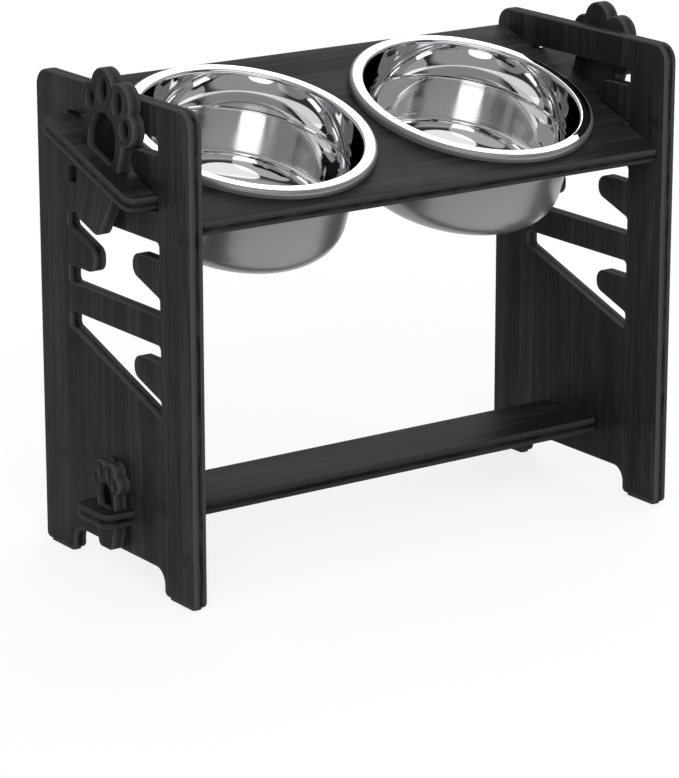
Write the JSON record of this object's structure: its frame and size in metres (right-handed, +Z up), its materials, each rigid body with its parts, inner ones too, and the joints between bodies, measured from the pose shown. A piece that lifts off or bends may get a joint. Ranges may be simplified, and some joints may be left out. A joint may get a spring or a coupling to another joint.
{
  "type": "elevated dog bowl stand",
  "caption": "Raised pet feeder: a tilted board with steel bowls between slotted side panels, locked by paw-shaped wedge keys at a choice of heights.",
  "frame": {"origin": "on the floor, in the middle between the side panels and between the front and rear edges", "axes": "+X along the stand towards its right side, +Y towards the rear, +Z up"},
  "size_m": [0.532, 0.228, 0.4195],
  "materials": {
    "black_stained_wood": "black stained bamboo, satin",
    "polished_steel": "mirror polished",
    "pad_rubber": "matt"
  },
  "bodies": {
    "stand": {"left_side_panel": "black_stained_wood", "right_side_panel": "black_stained_wood", "bowl_board": "black_stained_wood", "bottom_stretcher": "black_stained_wood", "left_front_foot_pad": "pad_rubber", "left_rear_foot_pad": "pad_rubber", "right_front_foot_pad": "pad_rubber", "right_rear_foot_pad": "pad_rubber"},
    "left_bowl_body": {"left_bowl": "polished_steel"},
    "left_board_key_body": {"left_board_key": "black_stained_wood"},
    "left_stretcher_key_body": {"left_stretcher_key": "black_stained_wood"},
    "right_bowl_body": {"right_bowl": "polished_steel"},
    "right_board_key_body": {"right_board_key": "black_stained_wood"},
    "right_stretcher_key_body": {"right_stretcher_key": "black_stained_wood"}
  },
  "joints": [
    {"name": "left_bowl_lift", "type": "slide", "parent": "stand", "child": "left_bowl_body", "axis": [0, -0.3256, 0.9455], "range_m": [0, 0.1]},
    {"name": "left_board_key_pull", "type": "slide", "parent": "stand", "child": "left_board_key_body", "axis": [0, -0.3256, 0.9455], "range_m": [0, 0.07]},
    {"name": "left_stretcher_key_pull", "type": "slide", "parent": "stand", "child": "left_stretcher_key_body", "axis": [0, 0, 1], "range_m": [0, 0.04]},
    {"name": "right_bowl_lift", "type": "slide", "parent": "stand", "child": "right_bowl_body", "axis": [0, -0.3256, 0.9455], "range_m": [0, 0.1]},
    {"name": "right_board_key_pull", "type": "slide", "parent": "stand", "child": "right_board_key_body", "axis": [0, -0.3256, 0.9455], "range_m": [0, 0.07]},
    {"name": "right_stretcher_key_pull", "type": "slide", "parent": "stand", "child": "right_stretcher_key_body", "axis": [0, 0, 1], "range_m": [0, 0.04]}
  ]
}
